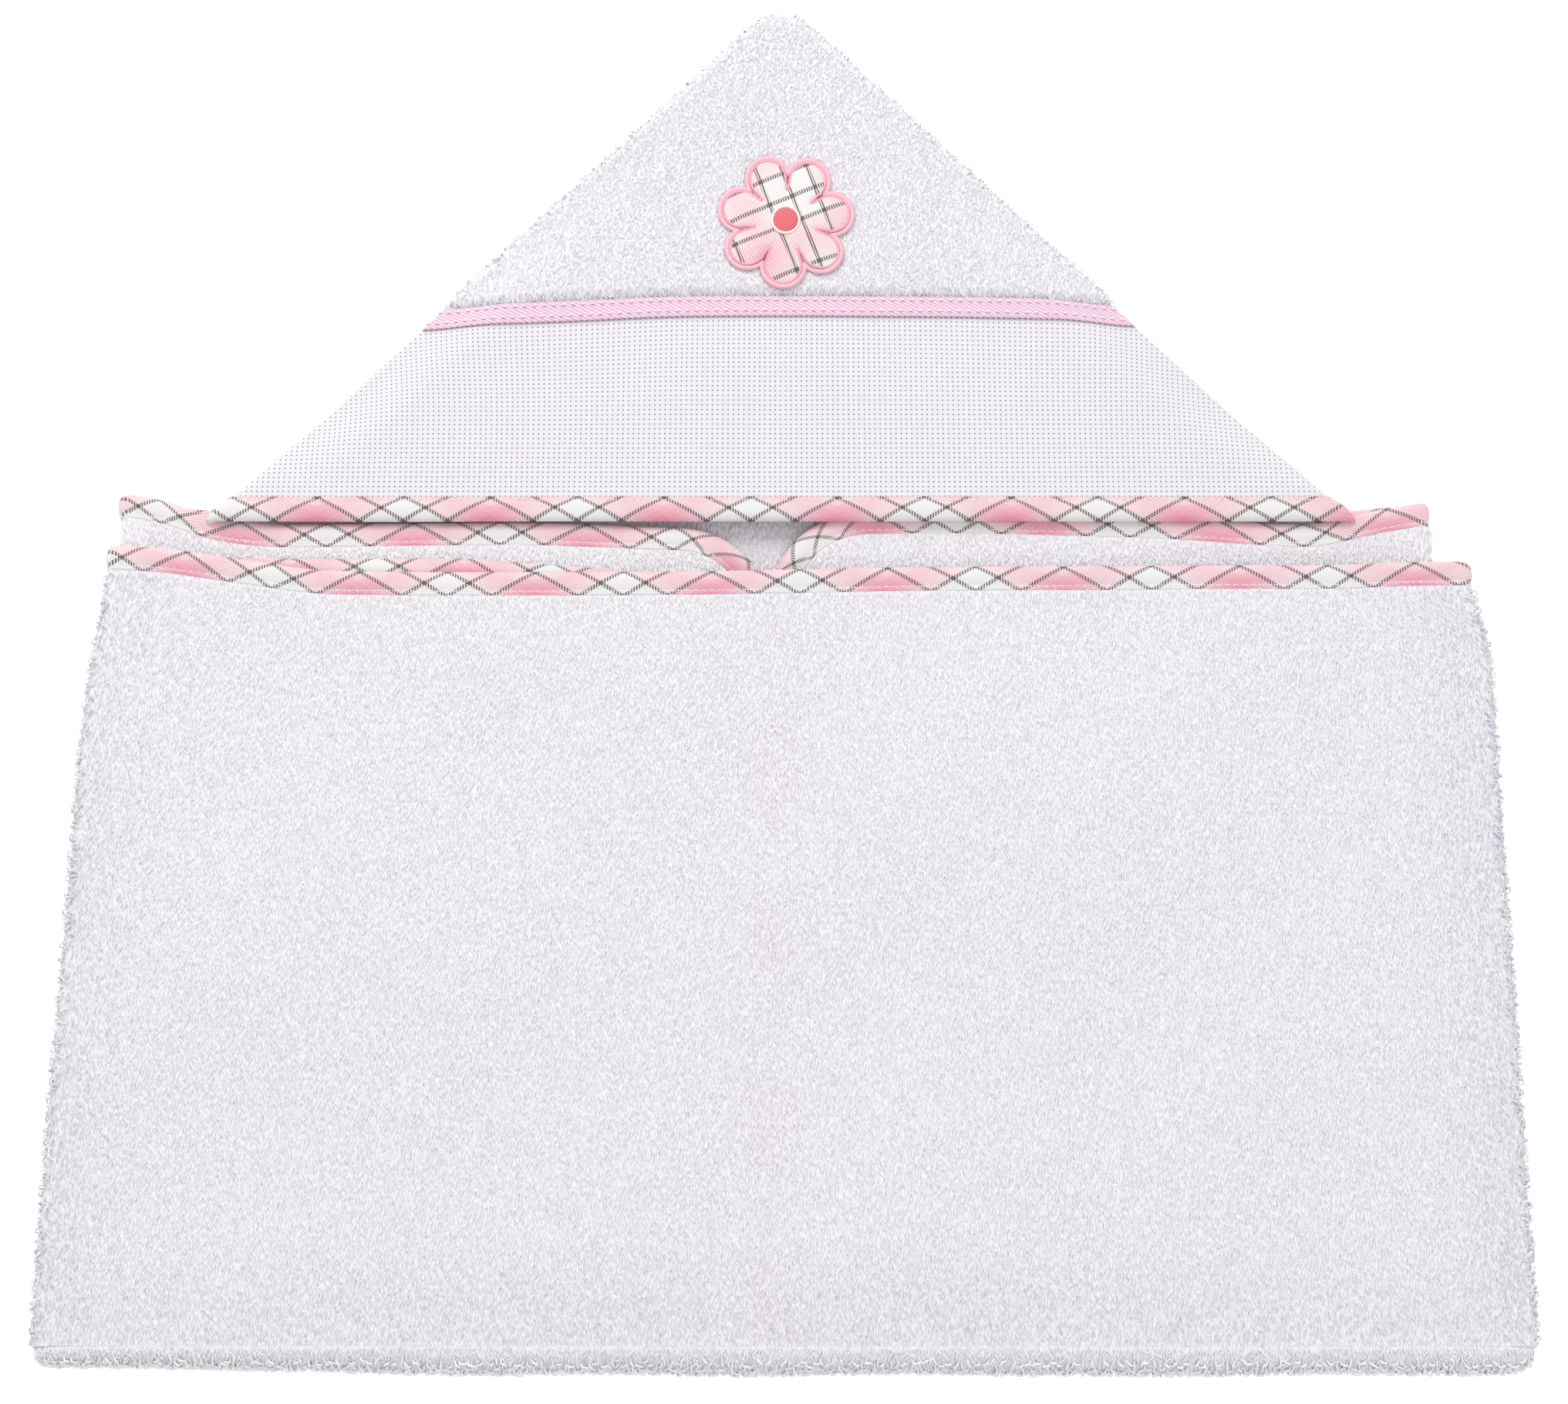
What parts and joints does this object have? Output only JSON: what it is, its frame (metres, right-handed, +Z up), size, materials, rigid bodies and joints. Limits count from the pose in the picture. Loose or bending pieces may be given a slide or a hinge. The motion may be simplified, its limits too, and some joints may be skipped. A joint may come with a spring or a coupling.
{
  "type": "hooded baby towel",
  "caption": "Folded terry towel for a baby, with a pointed hood, an evenweave embroidery band, plaid bound edges and a padded flower.",
  "frame": {"origin": "middle of the folded towel's footprint, on the surface that it lies on", "axes": "+X across the towel to the right as it is seen from its foot, +Y towards the hood's tip, +Z up"},
  "size_m": [0.472, 0.493, 0.018],
  "materials": {
    "white_terry": "looped cotton pile, matt",
    "aida_cloth": "evenweave cotton with a grid of small holes, matt",
    "plaid_bias_tape": "pink and white checked cotton cut on the bias, matt",
    "pink_twill_tape": "fine twill, slight sheen",
    "white_thread": "sewing thread",
    "wadding": "soft felted padding",
    "plaid_patch": "pink and white checked cotton, matt",
    "pink_satin_stitch": "close satin stitch with a sheen",
    "cream_satin_stitch": "close satin stitch with a sheen",
    "coral_satin_stitch": "close satin stitch with a sheen"
  },
  "bodies": {
    "folded_back": {"back_panel": "white_terry", "bottom_fold": "white_terry", "flap_turn_left": "white_terry", "flap_turn_right": "white_terry", "upper_flap_left": "white_terry", "upper_flap_right": "white_terry", "edge_binding_left": "plaid_bias_tape", "edge_binding_right": "plaid_bias_tape", "edge_stitching_left": "white_thread", "edge_stitching_right": "white_thread"},
    "front_half": {"front_panel": "white_terry", "lower_flap_left": "white_terry", "lower_flap_right": "white_terry", "front_binding": "plaid_bias_tape", "front_stitching": "white_thread"},
    "hood": {"hood_back": "white_terry", "hood_front": "white_terry", "hood_aida_band": "aida_cloth", "hood_tape": "pink_twill_tape", "tape_stitching_lower": "white_thread", "tape_stitching_upper": "white_thread", "hood_binding": "plaid_bias_tape", "hood_stitching": "white_thread", "flower_wadding": "wadding", "flower_patch": "plaid_patch", "flower_edge_stitching": "pink_satin_stitch", "flower_ring": "cream_satin_stitch", "flower_middle": "coral_satin_stitch"}
  },
  "joints": [
    {"name": "front_unfold", "type": "hinge", "parent": "folded_back", "child": "front_half", "pos_m": [0, -0.2379, 0.0086], "axis": [1, 0, 0], "range_deg": [0, 180]},
    {"name": "hood_flip", "type": "hinge", "parent": "folded_back", "child": "hood", "pos_m": [0, 0.0412, 0.0163], "axis": [1, 0, 0], "range_deg": [0, 180]}
  ]
}
